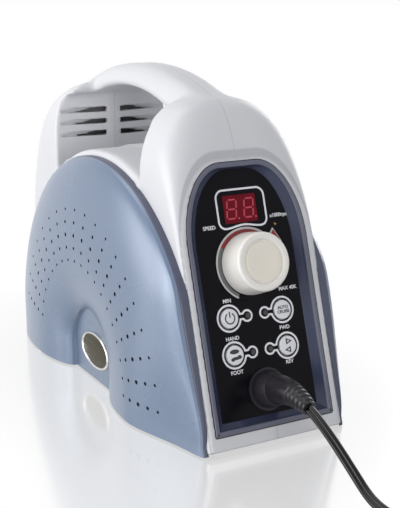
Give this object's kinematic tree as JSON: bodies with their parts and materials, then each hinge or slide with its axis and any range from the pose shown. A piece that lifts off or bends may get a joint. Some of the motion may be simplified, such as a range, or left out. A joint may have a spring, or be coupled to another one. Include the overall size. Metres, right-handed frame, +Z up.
{
  "type": "dental micromotor",
  "caption": "Desk control unit of a dental micromotor: white housing with a carrying handle, blue side covers, speed knob and keys, with its motor handpiece on a coiled cord.",
  "frame": {"origin": "on the desk, under the middle of the control unit's housing", "axes": "+X to the right seen from the front, +Y from the front panel to the rear, +Z up"},
  "size_m": [0.1671, 0.4086, 0.1685],
  "materials": {
    "white_shell": "satin",
    "blue_cover": "satin metallic lacquer",
    "bright_trim": "polished",
    "slate_trim": "satin",
    "panel_black": "gloss",
    "window_red": "gloss, dark red",
    "lamp_red": "clear red",
    "dial_grey": "matte",
    "knob_ivory": "satin",
    "button_grey": "satin",
    "steel": "brushed",
    "brass": "drawn",
    "board_green": "solder mask",
    "cord_black": "satin",
    "handpiece_alloy": "anodised"
  },
  "bodies": {
    "unit": {"left_body_shell": "white_shell", "right_body_shell": "white_shell", "left_side_cover": "blue_cover", "right_side_cover": "blue_cover", "badge_rims": "bright_trim", "badge_plates": "bright_trim", "trim_frame": "slate_trim", "front_panel": "panel_black", "plug_body": "panel_black", "mains_inlet": "panel_black", "fuse_cap": "panel_black", "rocker_frame": "panel_black", "foot_socket": "panel_black", "socket_shell": "panel_black", "display_module": "panel_black", "tact_switches": "panel_black", "pot_body": "panel_black", "display_window": "window_red", "display_digits": "lamp_red", "indicator_lamps": "lamp_red", "dial_ring": "dial_grey", "base_plate": "dial_grey", "socket_insulator": "knob_ivory", "pot_nut": "steel", "board_posts": "steel", "socket_nut": "steel", "plug_sleeve": "steel", "rear_bearing": "steel", "front_bearing": "steel", "base_screws": "steel", "inlet_pins": "steel", "transformer_core": "steel", "plug_pins": "brass", "motor_stator": "brass", "transformer_winding": "brass", "control_board": "board_green", "plug_boot": "cord_black", "cord_lead": "cord_black", "cord_coil": "cord_black", "cord_tail": "cord_black", "cord_tie": "cord_black", "handpiece_boot": "cord_black", "handpiece_rear_cap": "cord_black", "rubber_feet": "cord_black", "motor_sleeve": "handpiece_alloy", "handpiece_nose": "handpiece_alloy"},
    "knob": {"speed_knob": "knob_ivory", "knob_cap": "knob_ivory", "pot_shaft": "steel"},
    "power_key": {"power_button": "button_grey"},
    "cruise_key": {"cruise_button": "button_grey"},
    "hand_foot_key": {"hand_foot_button": "button_grey"},
    "direction_key": {"direction_button": "button_grey"},
    "rocker": {"power_rocker": "panel_black"},
    "spindle": {"motor_rotor": "steel", "collet_spindle": "steel"},
    "chuck": {"chuck_ring": "cord_black"}
  },
  "joints": [
    {"name": "knob_turn", "type": "hinge", "parent": "unit", "child": "knob", "pos_m": [0, -0.08507, 0.08126], "axis": [0, -0.9527, 0.304], "range_deg": [-140, 140]},
    {"name": "power_press", "type": "slide", "parent": "unit", "child": "power_key", "axis": [0, 0.9527, -0.304], "range_m": [0, 0.0008], "stiffness_N_per_m": 400},
    {"name": "cruise_press", "type": "slide", "parent": "unit", "child": "cruise_key", "axis": [0, 0.9527, -0.304], "range_m": [0, 0.0008], "stiffness_N_per_m": 400},
    {"name": "hand_foot_press", "type": "slide", "parent": "unit", "child": "hand_foot_key", "axis": [0, 0.9527, -0.304], "range_m": [0, 0.0008], "stiffness_N_per_m": 400},
    {"name": "direction_press", "type": "slide", "parent": "unit", "child": "direction_key", "axis": [0, 0.9527, -0.304], "range_m": [0, 0.0008], "stiffness_N_per_m": 400},
    {"name": "rocker_tilt", "type": "hinge", "parent": "unit", "child": "rocker", "pos_m": [0, 0.107, 0.062], "axis": [1, 0, 0], "range_deg": [-8, 8]},
    {"name": "spindle_spin", "type": "hinge", "parent": "unit", "child": "spindle", "pos_m": [0.101, -0.161, 0.0135], "axis": [0, 1, 0], "continuous": true},
    {"name": "chuck_turn", "type": "hinge", "parent": "unit", "child": "chuck", "pos_m": [0.101, -0.127, 0.0135], "axis": [0, 1, 0], "range_deg": [0, 60]}
  ]
}
